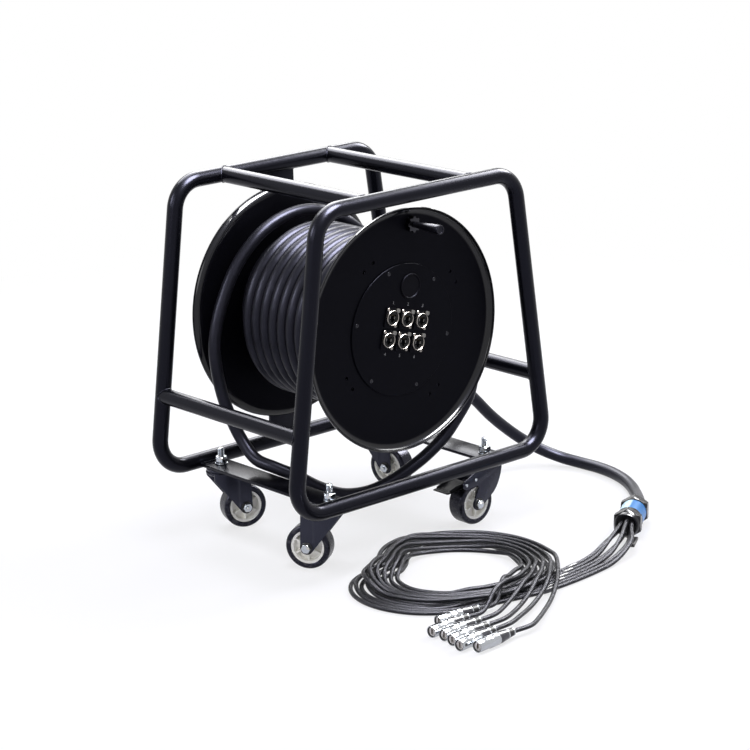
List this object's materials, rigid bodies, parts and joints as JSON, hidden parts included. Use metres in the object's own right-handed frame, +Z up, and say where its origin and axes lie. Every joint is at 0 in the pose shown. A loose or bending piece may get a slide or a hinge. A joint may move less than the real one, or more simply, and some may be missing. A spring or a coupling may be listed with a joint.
{
  "type": "network cable reel",
  "caption": "Dished steel drum on a tube frame with swivel casters, wound with trunk cable that splits into plug-ended tails; a patch panel sits in the drum's face.",
  "frame": {"origin": "on the floor, under the middle of the reel's box without its loose cable", "axes": "+X along the hoops to the right seen from the front, +Y along the drum's axle towards the back, +Z up"},
  "size_m": [0.7253, 0.7227, 0.5716],
  "materials": {
    "bright_zinc": "bright zinc plate",
    "cap_plastic": "black moulded plastic",
    "disc_paint": "satin black powder coat",
    "frame_paint": "gloss black powder coat",
    "gland_metal": "dark anodised metal",
    "grip_plastic": "black moulded grip",
    "machined_steel": "turned steel",
    "socket_nickel": "nickel plated die casting",
    "tail_jacket": "dark grey fine-textured sleeve",
    "trunk_jacket": "dark grey flexible cable jacket",
    "tyre_rubber": "black tyre bonded to its hub"
  },
  "bodies": {
    "frame": {"front_hoop": "frame_paint", "rear_hoop": "frame_paint", "top_rail_left": "frame_paint", "top_rail_right": "frame_paint", "side_rail_left": "frame_paint", "side_rail_right": "frame_paint", "caster_bar_left": "frame_paint", "caster_bar_right": "frame_paint", "bearing_upright": "frame_paint", "drum_spindle": "machined_steel", "caster_stem_front_left": "bright_zinc", "caster_stem_front_right": "bright_zinc", "caster_stem_rear_left": "bright_zinc", "caster_stem_rear_right": "bright_zinc", "trunk_cable": "trunk_jacket", "cable_gland": "gland_metal", "cable_tail_1": "tail_jacket", "cable_tail_2": "tail_jacket", "cable_tail_3": "tail_jacket", "cable_tail_4": "tail_jacket", "cable_tail_5": "tail_jacket", "cable_tail_6": "tail_jacket", "cable_plug_1": "socket_nickel", "cable_plug_2": "socket_nickel", "cable_plug_3": "socket_nickel", "cable_plug_4": "socket_nickel", "cable_plug_5": "socket_nickel", "cable_plug_6": "socket_nickel"},
    "drum": {"front_disc": "disc_paint", "rear_disc": "disc_paint", "drum_core": "disc_paint", "bearing_hub": "machined_steel", "patch_plate": "disc_paint", "blank_cap": "cap_plastic", "socket_1": "socket_nickel", "socket_2": "socket_nickel", "socket_3": "socket_nickel", "socket_4": "socket_nickel", "socket_5": "socket_nickel", "socket_6": "socket_nickel", "cable_winding": "trunk_jacket", "cable_inner_layer": "trunk_jacket", "crank_collar": "machined_steel"},
    "grip": {"crank_grip": "grip_plastic"},
    "latch_1": {"socket_latch_1": "socket_nickel"},
    "latch_2": {"socket_latch_2": "socket_nickel"},
    "latch_3": {"socket_latch_3": "socket_nickel"},
    "latch_4": {"socket_latch_4": "socket_nickel"},
    "latch_5": {"socket_latch_5": "socket_nickel"},
    "latch_6": {"socket_latch_6": "socket_nickel"},
    "caster_front_left": {"caster_fork_front_left": "frame_paint"},
    "wheel_front_left": {"caster_wheel_front_left": "tyre_rubber"},
    "caster_front_right": {"caster_fork_front_right": "frame_paint"},
    "wheel_front_right": {"caster_wheel_front_right": "tyre_rubber"},
    "pedal_front_right": {"brake_pedal_front_right": "frame_paint"},
    "caster_rear_left": {"caster_fork_rear_left": "frame_paint"},
    "wheel_rear_left": {"caster_wheel_rear_left": "tyre_rubber"},
    "caster_rear_right": {"caster_fork_rear_right": "frame_paint"},
    "wheel_rear_right": {"caster_wheel_rear_right": "tyre_rubber"}
  },
  "joints": [
    {"name": "drum_turn", "type": "hinge", "parent": "frame", "child": "drum", "pos_m": [0, 0.0047, 0.34], "axis": [0, 1, 0], "continuous": true},
    {"name": "grip_turn", "type": "hinge", "parent": "drum", "child": "grip", "pos_m": [0.02269, -0.1267, 0.50141], "axis": [0, 1, 0], "continuous": true},
    {"name": "latch_press_1", "type": "slide", "parent": "drum", "child": "latch_1", "axis": [0, 1, 0], "range_m": [0, 0.0012], "stiffness_N_per_m": 400, "springref_m": -0.001},
    {"name": "latch_press_2", "type": "slide", "parent": "drum", "child": "latch_2", "axis": [0, 1, 0], "range_m": [0, 0.0012], "stiffness_N_per_m": 400, "springref_m": -0.001},
    {"name": "latch_press_3", "type": "slide", "parent": "drum", "child": "latch_3", "axis": [0, 1, 0], "range_m": [0, 0.0012], "stiffness_N_per_m": 400, "springref_m": -0.001},
    {"name": "latch_press_4", "type": "slide", "parent": "drum", "child": "latch_4", "axis": [0, 1, 0], "range_m": [0, 0.0012], "stiffness_N_per_m": 400, "springref_m": -0.001},
    {"name": "latch_press_5", "type": "slide", "parent": "drum", "child": "latch_5", "axis": [0, 1, 0], "range_m": [0, 0.0012], "stiffness_N_per_m": 400, "springref_m": -0.001},
    {"name": "latch_press_6", "type": "slide", "parent": "drum", "child": "latch_6", "axis": [0, 1, 0], "range_m": [0, 0.0012], "stiffness_N_per_m": 400, "springref_m": -0.001},
    {"name": "swivel_front_left", "type": "hinge", "parent": "frame", "child": "caster_front_left", "pos_m": [-0.1625, -0.1263, 0.102], "axis": [0, 0, 1], "continuous": true},
    {"name": "wheel_turn_front_left", "type": "hinge", "parent": "caster_front_left", "child": "wheel_front_left", "pos_m": [-0.17999, -0.09831, 0.035], "axis": [-0.848, -0.5299, 0], "continuous": true},
    {"name": "swivel_front_right", "type": "hinge", "parent": "frame", "child": "caster_front_right", "pos_m": [0.1625, -0.1263, 0.102], "axis": [0, 0, 1], "continuous": true},
    {"name": "wheel_turn_front_right", "type": "hinge", "parent": "caster_front_right", "child": "wheel_front_right", "pos_m": [0.1295, -0.1263, 0.035], "axis": [0, -1, 0], "continuous": true},
    {"name": "brake_front_right", "type": "hinge", "parent": "caster_front_right", "child": "pedal_front_right", "pos_m": [0.1045, -0.1263, 0.071], "axis": [0, -1, 0], "range_deg": [0, 12]},
    {"name": "swivel_rear_left", "type": "hinge", "parent": "frame", "child": "caster_rear_left", "pos_m": [-0.1625, 0.1357, 0.102], "axis": [0, 0, 1], "continuous": true},
    {"name": "wheel_turn_rear_left", "type": "hinge", "parent": "caster_rear_left", "child": "wheel_rear_left", "pos_m": [-0.1313, 0.12496, 0.035], "axis": [0.3256, 0.9455, 0], "continuous": true},
    {"name": "swivel_rear_right", "type": "hinge", "parent": "frame", "child": "caster_rear_right", "pos_m": [0.1625, 0.1357, 0.102], "axis": [0, 0, 1], "continuous": true},
    {"name": "wheel_turn_rear_right", "type": "hinge", "parent": "caster_rear_right", "child": "wheel_rear_right", "pos_m": [0.16936, 0.10342, 0.035], "axis": [0.9781, 0.2079, 0], "continuous": true}
  ]
}
